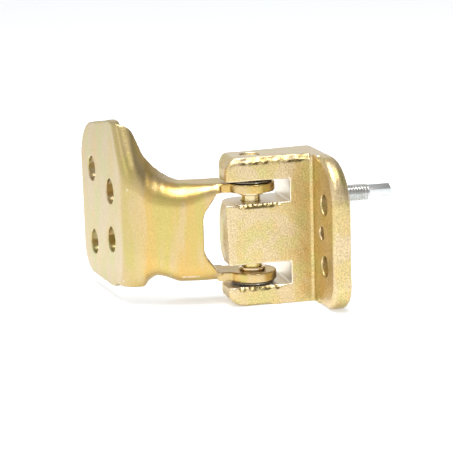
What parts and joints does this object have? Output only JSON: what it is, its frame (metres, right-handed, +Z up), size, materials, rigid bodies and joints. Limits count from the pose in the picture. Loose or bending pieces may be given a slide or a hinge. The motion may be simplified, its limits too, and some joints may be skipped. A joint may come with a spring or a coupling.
{
  "type": "door hinge",
  "caption": "Yellow-zinc vehicle door hinge: a pressed door leaf swings on a vertical pin in a forged pillar bracket with a mounting stud.",
  "frame": {"origin": "centre of the hinge pin's lower end face, in the plane of the bracket's underside", "axes": "+Z up along the pin axis, +X towards the pillar face of the bracket's flange, +Y to the back of the bracket"},
  "size_m": [0.1241, 0.105, 0.0796],
  "materials": {
    "leaf_steel": "satin yellow zinc, pressed sheet",
    "bracket_steel": "grainy yellow zinc, forged and machined",
    "pin_steel": "smooth yellow zinc",
    "bush_bronze": "bright turned bronze",
    "washer_steel": "dull steel",
    "stud_zinc": "bright clear zinc, rolled thread"
  },
  "bodies": {
    "bracket": {"pillar_bracket": "bracket_steel", "hinge_pin": "pin_steel", "mounting_stud": "stud_zinc"},
    "leaf": {"door_leaf": "leaf_steel", "upper_bush": "bush_bronze", "lower_bush": "bush_bronze", "upper_washer": "washer_steel", "lower_washer": "washer_steel"}
  },
  "joints": [
    {"name": "door_swing", "type": "hinge", "parent": "bracket", "child": "leaf", "pos_m": [0, 0, 0.0316], "axis": [0, 0, 1], "range_deg": [-6, 74]}
  ]
}
